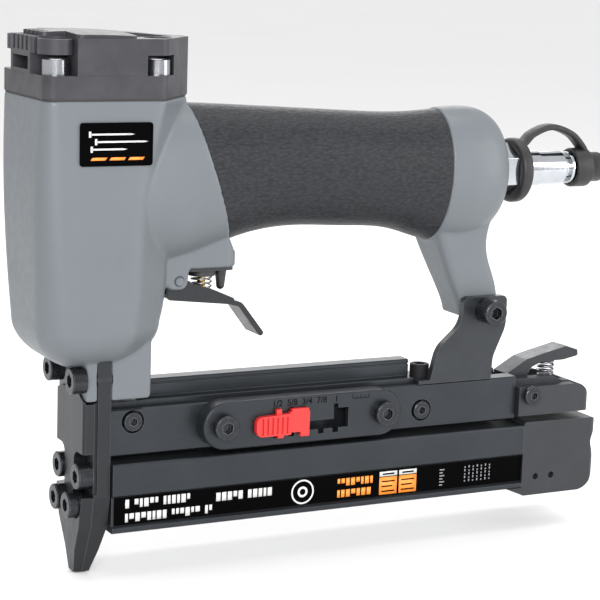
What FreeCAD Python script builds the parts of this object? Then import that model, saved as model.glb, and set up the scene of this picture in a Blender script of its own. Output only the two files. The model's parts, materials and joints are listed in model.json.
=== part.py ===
import FreeCAD, Part
import math
import os

from FreeCAD import Vector

os.makedirs("parts", exist_ok=True)

# Frame: origin at the centre of the nose tip where the pin leaves, +Z up the
# drive axis, +X toward the air inlet, mirror plane at y = 0.  All in mm.

# ---- driving dimensions ----
CAP_JOINT_Z = 155.7          # flat joint between casting and exhaust cap
CAP_TOP_Z = 174.7            # shoulder height of the exhaust cap
DOME_TOP_Z = 176.4           # crown of the exhaust cap
HEAD_FRONT_X = -21.6         # front face of the head
HEAD_HALF_Y = 21.0           # half width of the head
HEAD_TAIL_X = 33.0           # rear point of the head plan at the cap joint
BOWL_Z = 84.0                # where the head starts to close underneath
BOWL_DEPTH = 15.5

BORE_R = 12.5                # piston bore
SLEEVE_R = 15.2              # outside of the cylinder sleeve
STROKE = 46.0                # piston and driver travel
PISTON_Z = 139.0             # underside of the piston at rest
PISTON_H = 8.0
BUMPER_TOP_Z = 92.6
BUMPER_BOT_Z = 84.0

RAIL_HALF_Y = 10.5           # main magazine rail
RAIL_BOT_Z = 40.0
RAIL_TOP_Z = 55.6
RAIL_FRONT_X = 4.9
RAIL_REAR_X = 160.0
SLIDE_HALF_Y = 13.8          # sliding magazine channel
SLIDE_BOT_Z = 15.0
SLIDE_TOP_Z = 38.2
SLIDE_REAR_X = 162.6
BLOCK_REAR_X = 193.9
BLOCK_BOT_Z = 12.0
BLOCK_TOP_Z = 39.2

NOSE_HALF_Y = 12.5           # nose plates
NOSE_FRONT_X = -4.8
NOSE_SPLIT_X = -1.0          # joint between front plate and guide body
GUIDE_REAR_X = 4.6
GUIDE_TOP_Z = 76.0
SHOULDER_Z = 27.4            # where the nose starts to taper

PIVOT_X = 29.3               # trigger pivot
PIVOT_Z = 96.0
STEM_X = 40.7                # trigger valve axis
BOSS_BOT_Z = 99.8            # underside of the trigger valve boss
POST_X = 47.7                # stop post behind the trigger valve

BULB_END_X = 151.8           # rear face of the handle casting
RING_X = 158.5               # front face of the rubber ring on the inlet
PLUG_Z = 128.8               # air inlet axis
LEG_BOLT_X = 145.5
LEG_BOLT_Z = 80.6
LEG_HALF_Y = 8.0

LATCH_X = 165.4              # latch pivot
LATCH_Z = 48.9
STRAP_X = 187.0              # bend of the dust cap strap, on its outer face

ADJ_Z = 48.6                 # length adjuster centre line
ADJ_FACE_Y = -17.0
ADJ_R = 8.0
MARK_X = 61.8                # first length mark
MARK_STEP = 5.55             # one eighth of an inch of pin per step
MARKS = 5

FIT = 0.05                   # radial clearance of a running fit
SCREW_R = 2.5                # M5
SCREW_HEAD_R = 4.25
SCREW_HEAD_H = 5.0

X_AXIS = Vector(1, 0, 0)
Y_AXIS = Vector(0, 1, 0)
Z_AXIS = Vector(0, 0, 1)


# ---- small helpers ----
def box(x0, x1, y0, y1, z0, z1):
    return Part.makeBox(x1 - x0, y1 - y0, z1 - z0, Vector(x0, y0, z0))


def rod(start, axis, radius, length):
    return Part.makeCylinder(radius, length, start, axis)


def ring(start, axis, outer, inner, length):
    return rod(start, axis, outer, length).cut(rod(start, axis, inner, length))


def fuse(shapes):
    joined = shapes[0]
    for extra in shapes[1:]:
        joined = joined.fuse(extra)
    return joined.removeSplitter()


def cut_all(shape, tools):
    for tool in tools:
        shape = shape.cut(tool)
    return shape


def mirror_pair(shape):
    return [shape, shape.mirror(Vector(0, 0, 0), Y_AXIS)]


def rounded_wire(points, radii):
    """Closed wire through the points with each corner rounded by its radius."""
    count = len(points)
    starts = []
    ends = []
    middles = []
    for i in range(count):
        corner = points[i]
        before = (points[i - 1] - corner).normalize()
        after = (points[(i + 1) % count] - corner).normalize()
        half = before.getAngle(after) / 2.0
        radius = radii[i]
        reach = radius / math.tan(half)
        starts.append(corner + before * reach)
        ends.append(corner + after * reach)
        bisector = (before + after).normalize()
        middles.append(corner + bisector * (radius / math.sin(half) - radius))
    edges = []
    for i in range(count):
        nxt = (i + 1) % count
        if radii[i] > 0:
            edges.append(Part.Arc(starts[i], middles[i], ends[i]).toShape())
        if (starts[nxt] - ends[i]).Length > 1e-6:
            edges.append(Part.makeLine(ends[i], starts[nxt]))
    return Part.Wire(edges)


def slab_xz(points, radii, y0, y1):
    """Side profile (x, z points) pulled from y0 to y1."""
    corners = [Vector(x, y0, z) for x, z in points]
    face = Part.Face(rounded_wire(corners, radii))
    return face.extrude(Vector(0, y1 - y0, 0))


def slab_yz(points, radii, x0, x1):
    """Cross-section (y, z points) pulled from x0 to x1."""
    corners = [Vector(x0, y, z) for y, z in points]
    face = Part.Face(rounded_wire(corners, radii))
    return face.extrude(Vector(x1 - x0, 0, 0))


def slab_xy(points, radii, z0, z1):
    """Plan profile (x, y points) pulled from z0 to z1."""
    corners = [Vector(x, y, z0) for x, y in points]
    face = Part.Face(rounded_wire(corners, radii))
    return face.extrude(Vector(0, 0, z1 - z0))


def hex_prism(start, axis, across_flats, length):
    corner_r = across_flats / math.sqrt(3.0)
    side = Vector(0, 0, 1) if abs(axis.z) < 0.5 else Vector(1, 0, 0)
    other = axis.cross(side)
    points = []
    for i in range(6):
        angle = math.radians(60.0 * i)
        offset = side * (corner_r * math.cos(angle)) + other * (corner_r * math.sin(angle))
        points.append(start + offset)
    face = Part.Face(Part.makePolygon(points + [points[0]]))
    return face.extrude(axis * length)


def cap_screw(seat, axis, length, head_r=SCREW_HEAD_R, head_h=SCREW_HEAD_H, shank_r=SCREW_R, key=4.0):
    """Hex socket screw: the head sits behind the seat, the shank runs along the axis."""
    head = rod(seat - axis * head_h, axis, head_r, head_h)
    bevel = 0.08 * head_r
    rim = [e for e in head.Edges if e.Closed and (e.CenterOfMass - (seat - axis * head_h)).Length < 1e-6]
    head = head.makeChamfer(bevel, rim)
    socket = hex_prism(seat - axis * head_h, axis, key, head_h * 0.55)
    shank = rod(seat, axis, shank_r, length)
    return head.cut(socket).fuse(shank).removeSplitter()


def screw_hole(seat, axis, length, shank_r=SCREW_R):
    return rod(seat, axis, shank_r + FIT, length + 0.5)


def coil(base, axis, radius, wire_r, height, turns):
    """Closed helical wire of the given height standing on the base point."""
    pitch = (height - 2 * wire_r) / turns
    helix = Part.makeHelix(pitch, pitch * turns, radius)
    circle = Part.Circle(Vector(radius, 0, 0), Y_AXIS, wire_r)
    profile = Part.Wire([circle.toShape()])
    spring = Part.Wire(helix.Edges).makePipeShell([profile], True, True)
    turn = FreeCAD.Rotation(Z_AXIS, axis)
    spring.Placement = FreeCAD.Placement(base + axis * wire_r, turn)
    return spring


def export(name, shape):
    if shape.ShapeType != "Solid" and len(shape.Solids) == 1:
        shape = shape.Solids[0]
    shape.exportStep("parts/" + name + ".step")


# ---- head and handle outlines ----
def head_plan(z, front, tail, half, tail_half, side_end, corner, side_r, tail_r, scale=1.0):
    points = [
        (front, -half), (side_end, -half), (tail, -tail_half),
        (tail, tail_half), (side_end, half), (front, half),
    ]
    radii = [corner, side_r, tail_r, tail_r, side_r, corner]
    corners = [Vector(x * scale, y * scale, z) for x, y in points]
    return rounded_wire(corners, [r * scale for r in radii])


def head_solid():
    """Head body: a rounded box closing into a bowl underneath."""
    front = HEAD_FRONT_X
    half = HEAD_HALF_Y
    sections = [
        head_plan(CAP_JOINT_Z, front, HEAD_TAIL_X, half, 2.8, 18.0, 4.4, 4.0, 2.0),
        head_plan(148.0, front - 0.4, 31.5, half + 0.2, 4.5, 16.0, 5.4, 6.0, 3.0),
        head_plan(136.0, front - 0.8, 28.0, half + 0.3, 7.5, 13.0, 6.5, 8.0, 5.0),
        head_plan(112.0, front - 0.6, 24.6, half + 0.2, 10.0, 10.0, 8.0, 9.0, 7.0),
        head_plan(BOWL_Z, front + 0.8, 22.5, half - 0.5, 11.0, 8.5, 10.0, 9.0, 8.0),
    ]
    upper = Part.makeLoft(sections, True, False)
    bowl = []
    for step in range(6):
        angle = math.radians(14.0 * step)
        depth = BOWL_Z - BOWL_DEPTH * math.sin(angle)
        size = math.cos(angle)
        bowl.append(head_plan(depth, front + 0.8, 22.5, half - 0.5, 11.0, 8.5, 10.0, 9.0, 8.0, size))
    lower = Part.makeLoft(bowl, True, False)
    return upper.fuse(lower)


HANDLE_STATIONS = [
    # x, top z, bottom z, half width
    (-2.0, 154.4, 98.0, 20.4),
    (14.0, 154.2, 100.0, 19.6),
    (32.0, 153.9, 102.0, 17.6),
    (52.0, 153.0, 108.6, 16.8),
    (72.0, 151.9, 111.4, 16.5),
    (92.0, 150.8, 110.6, 16.5),
    (110.0, 150.1, 109.0, 16.6),
    (124.0, 150.7, 104.8, 17.0),
    (135.0, 151.5, 103.6, 17.3),
    (143.5, 150.6, 105.9, 16.8),
    (148.4, 148.0, 109.4, 15.2),
    (150.8, 145.0, 112.6, 13.2),
    (BULB_END_X, 142.0, 115.6, 11.2),
]
GRIP_INSET = 0.5             # the casting stands this much proud of the rubber at both seams


def handle_solid(inset):
    """Outer envelope of the handle, pulled in by the inset."""
    wires = []
    for x, top, bottom, half in HANDLE_STATIONS:
        centre = Vector(x, 0, (top + bottom) / 2.0)
        tall = (top - bottom) / 2.0 - inset
        wide = half - inset
        major = centre + Vector(0, 0, tall)
        minor = centre + Vector(0, wide, 0)
        wires.append(Part.Wire([Part.Ellipse(major, minor, centre).toShape()]))
    return Part.makeLoft(wires, True, False)


def grip_zone():
    """Space between the bowed front seam and the slanted rear seam of the rubber grip."""
    top_front = Vector(32.0, -22, 158.7)
    middle_front = Vector(39.2, -22, 128.0)
    low_front = Vector(50.6, -22, 103.0)
    low = Vector(54.2, -22, 97.0)
    low_rear = Vector(124.4, -22, 97.0)
    top_rear = Vector(127.9, -22, 158.7)
    edges = [Part.Arc(top_front, middle_front, low_front).toShape()]
    corners = [low_front, low, low_rear, top_rear, top_front]
    for a, b in zip(corners, corners[1:]):
        edges.append(Part.makeLine(a, b))
    return Part.Face(Part.Wire(edges)).extrude(Vector(0, 44, 0))


def leg_solid():
    """Curved leg that drops from the back of the handle to the magazine bracket."""
    stations = [
        # z, front x, rear x, half width
        (118.0, 127.5, 148.0, 10.5),
        (107.0, 125.6, 146.6, 10.0),
        (98.0, 129.2, 148.0, 9.0),
        (90.5, 132.8, 151.3, 8.3),
        (84.0, 136.0, 153.0, LEG_HALF_Y),
        (77.8, 138.0, 153.4, LEG_HALF_Y),
    ]
    wires = []
    for z, x0, x1, half in stations:
        points = [Vector(x0, -half, z), Vector(x1, -half, z), Vector(x1, half, z), Vector(x0, half, z)]
        wires.append(rounded_wire(points, [3.0, 3.0, 3.0, 3.0]))
    return Part.makeLoft(wires, True, False)


CAP_SCREW_SPOTS = [(-16.0, -14.0), (-16.0, 14.0), (18.0, -13.0), (18.0, 13.0)]
NOSE_SCREW_ROWS = [
    # half spacing, z, seat x, length, shank radius
    (10.4, 66.2, -4.0, 18.0, 2.0),
    (8.5, 34.0, NOSE_SPLIT_X, 5.0, SCREW_R),
    (5.5, 24.0, -3.2, 7.4, SCREW_R),
]


def trigger_ears():
    profile = [(18.0, 108.0), (33.4, 108.0), (32.2, PIVOT_Z - 2.9), (26.4, PIVOT_Z - 2.9), (20.5, 99.0)]
    ear = slab_xz(profile, [0, 0, 2.6, 2.6, 2.0], -8.6, -5.6)
    return mirror_pair(ear)


def casting():
    boss = box(31.5, 50.4, -8.5, 8.5, BOSS_BOT_Z, 122.0)
    boss = boss.makeFillet(4.0, [e for e in boss.Edges if abs(e.tangentAt(e.FirstParameter).z) > 0.9])
    neck = box(-4.0, 18.6, -12.8, 12.8, 59.2, 78.0)
    neck = neck.makeFillet(1.6, [e for e in neck.Edges if abs(e.CenterOfMass.x - 18.6) < 0.1
                                 and e.CenterOfMass.z < 77.0])
    body = head_solid()
    for piece in [handle_solid(0.0), boss, neck, leg_solid()] + trigger_ears():
        body = body.fuse(piece)
    body = body.cut(grip_shell_zone())
    tools = [
        rod(Vector(0, 0, BUMPER_BOT_Z), Z_AXIS, SLEEVE_R + FIT, 80.0),
        rod(Vector(0, 0, 50.0), Z_AXIS, 4.0, 60.0),
        rod(Vector(20.0, 0, PLUG_Z), X_AXIS, 9.5, 122.0),
        rod(Vector(138.0, 0, PLUG_Z), X_AXIS, 8.0, 30.0),
        rod(Vector(STEM_X, 0, 90.0), Z_AXIS, 5.0, 34.0),
        rod(Vector(PIVOT_X, -15.0, PIVOT_Z), Y_AXIS, 1.5, 30.0),
        rod(Vector(LEG_BOLT_X, -LEG_HALF_Y - 3.0, LEG_BOLT_Z), Y_AXIS, SCREW_R + FIT, 16.0),
        box(0.0 - FIT, GUIDE_REAR_X + FIT, -NOSE_HALF_Y - 0.4, NOSE_HALF_Y + 0.4, 50.0, GUIDE_TOP_Z + FIT),
    ]
    half_spacing, z, seat_x, length, shank_r = NOSE_SCREW_ROWS[0]
    for side in (-1, 1):
        tools.append(screw_hole(Vector(seat_x - 1.0, side * half_spacing, z), X_AXIS, length + 1.0, shank_r))
        tools.append(rod(Vector(seat_x - 16.0, side * half_spacing, z), X_AXIS, SCREW_HEAD_R + 0.35, 16.0))
    for x, y in CAP_SCREW_SPOTS:
        tools.append(rod(Vector(x, y, CAP_JOINT_Z - 14.5), Z_AXIS, SCREW_R + FIT, 20.0))
    return cut_all(body, tools)


def grip_shell_zone():
    """Sleeve-shaped space the rubber grip fills round the handle core."""
    shell = handle_solid(-4.0).cut(handle_solid(2.6))
    return shell.common(grip_zone())


def grip():
    sleeve = handle_solid(GRIP_INSET).cut(handle_solid(2.6))
    return sleeve.common(grip_zone())


# ---- exhaust cap ----
def cap():
    joint = CAP_JOINT_Z + 0.6
    skirt = Part.Face(head_plan(joint, HEAD_FRONT_X, HEAD_TAIL_X, HEAD_HALF_Y, 2.8, 18.0, 4.0, 3.5, 1.6))
    skirt = skirt.extrude(Vector(0, 0, 163.3 - joint))
    middle = box(-11.3, 9.7, -20.9, 20.9, 163.3, CAP_TOP_Z)
    front_points = [(-22.4, -10.2), (-10.0, -10.2), (-10.0, 10.2), (-22.4, 10.2)]
    front = slab_xy(front_points, [1.0, 0, 0, 1.0], 163.3, CAP_TOP_Z)
    rear = Part.Face(head_plan(163.3, HEAD_FRONT_X, HEAD_TAIL_X, HEAD_HALF_Y - 0.1, 2.8, 18.0, 4.0, 3.5, 1.6))
    rear = rear.extrude(Vector(0, 0, CAP_TOP_Z - 163.3)).common(box(9.0, 34.0, -22.0, 22.0, 163.3, CAP_TOP_Z))
    base_z = CAP_TOP_Z - 1.0
    deck = slab_xy([(-19.0, -9.0), (29.0, -5.0), (29.0, 5.0), (-19.0, 9.0)], [2, 2, 2, 2], base_z, DOME_TOP_Z)
    wide = slab_xy([(-10.8, -19.5), (9.0, -19.5), (9.0, 19.5), (-10.8, 19.5)], [2, 2, 2, 2], base_z, DOME_TOP_Z)
    crown = Part.makeSphere(300.0, Vector(-5.0, 0, DOME_TOP_Z - 300.0))
    dome = deck.fuse(wide).common(crown)
    body = fuse([skirt, middle, front, rear, dome])
    columns = []
    wells = []
    for x, y in CAP_SCREW_SPOTS:
        foot = Vector(x, y, 163.3)
        columns.append(rod(foot, Z_AXIS, 5.6 if x < 0 else 7.0, 11.0))
        wells.append(rod(Vector(x, y, 163.3), Z_AXIS, SCREW_HEAD_R + 0.35, 20.0))
        wells.append(rod(Vector(x, y, 150.0), Z_AXIS, SCREW_R + FIT, 20.0))
        window = box(-24.0, -11.3, 9.0, 24.0, 163.3, 169.6)
        if x > 0:
            window = box(11.6, 22.6, 8.6, 24.0, 163.3, 169.6)
        wells.append(mirror_pair(window)[1 if y < 0 else 0])
    plan = Part.Face(head_plan(160.0, HEAD_FRONT_X, HEAD_TAIL_X, HEAD_HALF_Y, 2.8, 18.0, 4.0, 3.5, 1.6))
    plan = plan.extrude(Vector(0, 0, 20.0))
    body = fuse([body] + [column.common(plan) for column in columns])
    slots = []
    for i in range(4):
        y = (i - 1.5) * 3.9
        slots.append(box(-24.0, -15.5, y - 0.95, y + 0.95, 170.2, 180.0))
    slots.append(box(-24.0, -13.0, -7.0, 7.0, 164.4, 168.4))
    inside = rod(Vector(0, 0, joint - 1), Z_AXIS, 13.0, 172.0 - joint + 1)
    valve_room = rod(Vector(0, 0, joint - 1), Z_AXIS, SLEEVE_R + 0.4, 159.0 - joint + 1)
    vents = box(-16.0, -10.0, -7.6, 7.6, 164.4, 172.6)
    return cut_all(body, wells + slots + [inside, valve_room, vents])


def cap_gasket():
    outline = Part.Face(head_plan(CAP_JOINT_Z, HEAD_FRONT_X + 0.25, HEAD_TAIL_X - 0.4, HEAD_HALF_Y - 0.25,
                                  2.7, 17.8, 4.0, 3.5, 1.6))
    sheet = outline.extrude(Vector(0, 0, 0.6))
    tools = [rod(Vector(0, 0, 150.0), Z_AXIS, 17.6, 10.0)]
    for x, y in CAP_SCREW_SPOTS:
        tools.append(rod(Vector(x, y, 150.0), Z_AXIS, SCREW_R + FIT, 10.0))
    return cut_all(sheet, tools)


def cap_screws():
    screws = []
    for x, y in CAP_SCREW_SPOTS:
        screws.append(cap_screw(Vector(x, y, 163.3), -Z_AXIS, 21.5))
    return Part.makeCompound(screws)


# ---- drive train inside the head ----
def cylinder_sleeve():
    foot = Vector(0, 0, BUMPER_TOP_Z + 0.3)
    tube = ring(foot, Z_AXIS, SLEEVE_R, BORE_R, 149.0 - BUMPER_TOP_Z - 0.3)
    grooves = [ring(Vector(0, 0, z), Z_AXIS, SLEEVE_R + 1, SLEEVE_R - 1.4, 2.4) for z in (98.0, 142.0)]
    return cut_all(tube, grooves)


def sleeve_rings():
    return Part.makeCompound([ring(Vector(0, 0, z + 0.1), Z_AXIS, SLEEVE_R, SLEEVE_R - 1.35, 2.2)
                              for z in (98.0, 142.0)])


def bumper():
    foot = Vector(0, 0, BUMPER_BOT_Z + 0.02)
    pad = ring(foot, Z_AXIS, SLEEVE_R - 0.1, 4.6, BUMPER_TOP_Z - BUMPER_BOT_Z)
    waist = ring(Vector(0, 0, BUMPER_BOT_Z + 3.2), Z_AXIS, SLEEVE_R + 1, SLEEVE_R - 2.0, 2.6)
    return pad.cut(waist)


def piston():
    crown = rod(Vector(0, 0, PISTON_Z), Z_AXIS, BORE_R - FIT, PISTON_H)
    groove = ring(Vector(0, 0, PISTON_Z + 3.0), Z_AXIS, BORE_R + 1, BORE_R - 1.9, 2.2)
    stub = rod(Vector(0, 0, PISTON_Z - 6.0), Z_AXIS, 3.6, 6.0)
    cup = rod(Vector(0, 0, PISTON_Z + 4.5), Z_AXIS, 7.0, 10.0)
    hole = rod(Vector(0, 0, PISTON_Z - 7.0), Z_AXIS, 1.5, 11.0)
    return cut_all(crown.fuse(stub), [groove, cup, hole])


def piston_ring():
    return ring(Vector(0, 0, PISTON_Z + 3.1), Z_AXIS, BORE_R - 0.02, BORE_R - 1.85, 2.0)


def driver():
    """Round shank pressed into the piston, thin blade below it."""
    shank_foot = GUIDE_TOP_Z + STROKE + 1.0
    shank = rod(Vector(0, 0, shank_foot), Z_AXIS, 1.5, PISTON_Z + 4.0 - shank_foot)
    blade = box(-0.35, 0.35, -0.7, 0.7, STROKE + 0.3, shank_foot)
    return shank.fuse(blade)


def head_valve():
    disc = rod(Vector(0, 0, 150.4), Z_AXIS, SLEEVE_R, 4.0)
    stem = rod(Vector(0, 0, 154.4), Z_AXIS, 5.0, 7.0)
    lip = ring(Vector(0, 0, 149.1), Z_AXIS, 14.4, 12.8, 1.4)
    return fuse([disc, stem, lip])


def head_spring():
    return coil(Vector(0, 0, 154.5), Z_AXIS, 8.6, 0.8, 17.3, 4)


# ---- trigger group ----
def valve_plate():
    plate = slab_xy([(33.0, -6.4), (49.9, -6.4), (49.9, 6.4), (33.0, 6.4)], [2, 2, 2, 2],
                    BOSS_BOT_Z - 1.2, BOSS_BOT_Z)
    post = Part.makeCone(2.1, 1.4, 6.0, Vector(POST_X, 0, BOSS_BOT_Z - 1.2), -Z_AXIS)
    tip = Part.makeSphere(1.4, Vector(POST_X, 0, BOSS_BOT_Z - 7.2))
    return fuse([plate, post, tip]).cut(rod(Vector(STEM_X, 0, 90.0), Z_AXIS, 3.0, 20.0))


def valve_collar():
    flange = rod(Vector(STEM_X, 0, BOSS_BOT_Z - 3.4), Z_AXIS, 4.7, 2.2)
    barrel = rod(Vector(STEM_X, 0, BOSS_BOT_Z - 1.2), Z_AXIS, 2.95, 1.4)
    seat = rod(Vector(STEM_X, 0, BOSS_BOT_Z + 0.2), Z_AXIS, 4.9, 12.0)
    bore = rod(Vector(STEM_X, 0, 90.0), Z_AXIS, 1.4 + FIT, 12.0)
    room = rod(Vector(STEM_X, 0, BOSS_BOT_Z + 1.6), Z_AXIS, 3.4, 14.0)
    return cut_all(fuse([flange, barrel, seat]), [bore, room])


def valve_stem():
    shaft = rod(Vector(STEM_X, 0, 89.9), Z_AXIS, 1.4, 17.0)
    foot = rod(Vector(STEM_X, 0, 89.9), Z_AXIS, 1.9, 1.2)
    poppet = rod(Vector(STEM_X, 0, 102.2), Z_AXIS, 2.8, 1.6)
    return fuse([shaft, foot, poppet])


def stem_spring():
    return coil(Vector(STEM_X, 0, 91.2), Z_AXIS, 3.3, 0.3, 5.0, 3)


def trigger():
    cheek_points = [
        (26.7, 89.4), (26.7, 98.6), (31.6, 98.6), (33.4, 95.2), (44.3, 91.6), (52.2, 88.2), (49.0, 86.9),
    ]
    cheek_radii = [1.0, 2.4, 2.2, 1.0, 4.0, 1.0, 3.0]
    cheeks = mirror_pair(slab_xz(cheek_points, cheek_radii, -5.2, -3.6))
    floor = slab_xz([(26.8, 89.6), (26.8, 91.1), (49.4, 88.6), (48.9, 87.0)], [0.4, 0.3, 0.3, 0.4], -3.7, 3.7)
    finger_points = [(48.0, 87.1), (48.2, 88.7), (53.4, 87.4), (62.0, 76.4), (60.4, 75.3), (52.2, 86.0)]
    finger = slab_xz(finger_points, [0.3, 0.3, 3.2, 0.9, 0.9, 2.0], -5.2, 5.2)
    body = fuse(cheeks + [floor, finger])
    return body.cut(rod(Vector(PIVOT_X, -10.0, PIVOT_Z), Y_AXIS, 1.5 + FIT, 20.0))


def trigger_pin():
    pin = rod(Vector(PIVOT_X, -8.9, PIVOT_Z), Y_AXIS, 1.5, 17.8)
    return pin.makeChamfer(0.3, [e for e in pin.Edges if e.Closed])


# ---- nose ----
def nose_envelope():
    """Outside of the nose from the shoulder down to the tip."""
    def outline(z, front, front_half, rear, rear_half):
        points = [
            Vector(front, -front_half, z), Vector(NOSE_SPLIT_X, -rear_half, z), Vector(rear, -rear_half, z),
            Vector(rear, rear_half, z), Vector(NOSE_SPLIT_X, rear_half, z), Vector(front, front_half, z),
        ]
        return Part.makePolygon(points + [points[0]])

    upper = Part.makeLoft([outline(SHOULDER_Z, NOSE_FRONT_X, 11.6, GUIDE_REAR_X, NOSE_HALF_Y),
                           outline(17.0, NOSE_FRONT_X, 9.2, GUIDE_REAR_X, 10.6)], True, True)
    lower = Part.makeLoft([outline(17.0, NOSE_FRONT_X, 9.2, GUIDE_REAR_X, 10.6),
                           outline(8.0, -4.3, 4.4, 3.4, 6.4)], True, True)
    tip = Part.makeLoft([outline(8.0, -4.3, 4.4, 3.4, 6.4),
                         outline(0.0, -3.7, 2.2, 1.4, 2.9)], True, True)
    return fuse([upper, lower, tip])


def nose_screw_holes():
    tools = []
    for half_spacing, z, seat_x, length, shank_r in NOSE_SCREW_ROWS:
        for side in (-1, 1):
            tools.append(screw_hole(Vector(seat_x - 1, side * half_spacing, z), X_AXIS, length + 1, shank_r))
    return tools


def drive_slot():
    return box(-0.5, 0.5, -0.85, 0.85, -1.0, 80.0)


def nose_tip():
    body = nose_envelope().common(box(-10, NOSE_SPLIT_X, -20, 20, -1, 40))
    pockets = []
    half_spacing, z, seat_x, length, shank_r = NOSE_SCREW_ROWS[2]
    for side in (-1, 1):
        pocket = rod(Vector(seat_x - 9.0, side * half_spacing, z), X_AXIS, SCREW_HEAD_R + 0.4, 9.0)
        pockets.append(pocket)
    return cut_all(body, pockets + nose_screw_holes() + [drive_slot()])


def guide_body():
    lower = nose_envelope().common(box(NOSE_SPLIT_X, 10, -20, 20, -1, 40))
    plate = box(NOSE_SPLIT_X, GUIDE_REAR_X, -NOSE_HALF_Y, NOSE_HALF_Y, SHOULDER_Z, 58.6)
    upper = box(0.0, GUIDE_REAR_X, -NOSE_HALF_Y, NOSE_HALF_Y, 58.6, GUIDE_TOP_Z)
    body = fuse([lower, plate, upper])
    rebates = mirror_pair(box(NOSE_SPLIT_X - 1, 0.1, -15, -NOSE_HALF_Y + 0.8, SHOULDER_Z + 1.0, 60.0))
    feed = box(0.5, 10.0, -0.9, 0.9, 16.0, 45.2)
    return cut_all(body, rebates + nose_screw_holes() + [drive_slot(), feed])


def front_plate():
    plate = box(NOSE_FRONT_X, NOSE_SPLIT_X, -NOSE_HALF_Y, NOSE_HALF_Y, SHOULDER_Z + 0.1, 58.4)
    lift = slab_yz([(-NOSE_HALF_Y, 50.0), (-NOSE_HALF_Y, 59.0), (-8.0, 61.2), (8.0, 61.2),
                    (NOSE_HALF_Y, 59.0), (NOSE_HALF_Y, 50.0)], [0, 1.5, 3, 3, 1.5, 0], NOSE_FRONT_X, -4.05)
    plate = plate.fuse(lift)
    plate = plate.removeSplitter()
    notches = mirror_pair(slab_yz([(-20.0, SHOULDER_Z - 3), (-20.0, 42.0), (-4.2, 42.0), (-4.2, SHOULDER_Z - 3)],
                                  [0, 0, 3.4, 0], -10.0, 5.0))
    relief = []
    for row in (0, 2):
        for side in (-1, 1):
            spot = Vector(-20.0, side * NOSE_SCREW_ROWS[row][0], NOSE_SCREW_ROWS[row][1])
            relief.append(rod(spot, X_AXIS, SCREW_HEAD_R + 0.4, 25.0))
    corners = mirror_pair(slab_xy([(NOSE_FRONT_X - 1, -NOSE_HALF_Y - 1), (NOSE_FRONT_X - 1, -NOSE_HALF_Y + 1.9),
                                   (NOSE_FRONT_X + 1.9, -NOSE_HALF_Y - 1)], [0, 0, 0], 20.0, 70.0))
    return cut_all(plate, notches + relief + corners + nose_screw_holes() + [drive_slot()])


def nose_screws(row):
    half_spacing, z, seat_x, length, shank_r = NOSE_SCREW_ROWS[row]
    return Part.makeCompound([cap_screw(Vector(seat_x, side * half_spacing, z), X_AXIS, length, shank_r=shank_r)
                              for side in (-1, 1)])


# ---- magazine, fixed side ----
RAIL_SCREW_SPOTS = [(13.0, 51.2), (121.2, 46.4)]
ADJ_SCREW_XS = (42.6, 102.6)
FOOT_SCREW_X = 123.6
FOOT_SCREW_Y = -4.0


def main_rail():
    body = box(RAIL_FRONT_X, RAIL_REAR_X, -RAIL_HALF_Y, RAIL_HALF_Y, RAIL_BOT_Z, RAIL_TOP_Z)
    long_edges = [e for e in body.Edges if abs(e.tangentAt(e.FirstParameter).x) > 0.9]
    body = body.makeChamfer(0.5, long_edges)
    web = box(RAIL_FRONT_X, 148.0, -3.6, 3.6, 35.5, RAIL_BOT_Z)
    foot = box(RAIL_FRONT_X, 148.0, -8.6, 8.6, 32.4, 35.5)
    fin = box(RAIL_FRONT_X, 148.0, -1.2, 1.2, 19.5, 32.4)
    body = fuse([body, web, foot, fin])
    tools = [box(150.0, 170.0, -4.6, 4.6, 30.0, 70.0)]
    for x, z in RAIL_SCREW_SPOTS:
        tools.append(rod(Vector(x, -20.0, z), Y_AXIS, 3.9, 20.0 - RAIL_HALF_Y + 2.2))
        tools.append(rod(Vector(x, -20.0, z), Y_AXIS, 1.75 + FIT, 30.0))
    for x in ADJ_SCREW_XS:
        tools.append(rod(Vector(x, -20.0, ADJ_Z), Y_AXIS, SCREW_R + FIT, 18.0))
    tools.append(rod(Vector(FOOT_SCREW_X, FOOT_SCREW_Y, RAIL_TOP_Z + 1), -Z_AXIS, SCREW_R + FIT, 7.0))
    tools.append(rod(Vector(LATCH_X, -20.0, LATCH_Z), Y_AXIS, 5.0, 1.0))
    return cut_all(body, tools)


def top_rail():
    """Narrow bar on top of the main rail with a groove near its upper edge."""
    base = box(5.2, 119.6, -7.4, 7.4, RAIL_TOP_Z + 0.02, 57.4)
    web = box(19.2, 119.6, -3.2, 3.2, 57.4, 63.2)
    lines = mirror_pair(box(19.0, 120.0, -4.0, -2.7, 61.4, 61.9))
    body = cut_all(base.fuse(web), lines)
    top_edges = [e for e in body.Edges if abs(e.CenterOfMass.z - 63.2) < 0.01 and e.Length > 50]
    return body.makeChamfer(0.5, top_edges)


def rail_screws():
    return Part.makeCompound([cap_screw(Vector(x, -RAIL_HALF_Y + 2.0, z), Y_AXIS, 8.0, 3.2, 2.7, 1.75, 2.5)
                              for x, z in RAIL_SCREW_SPOTS])


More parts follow.
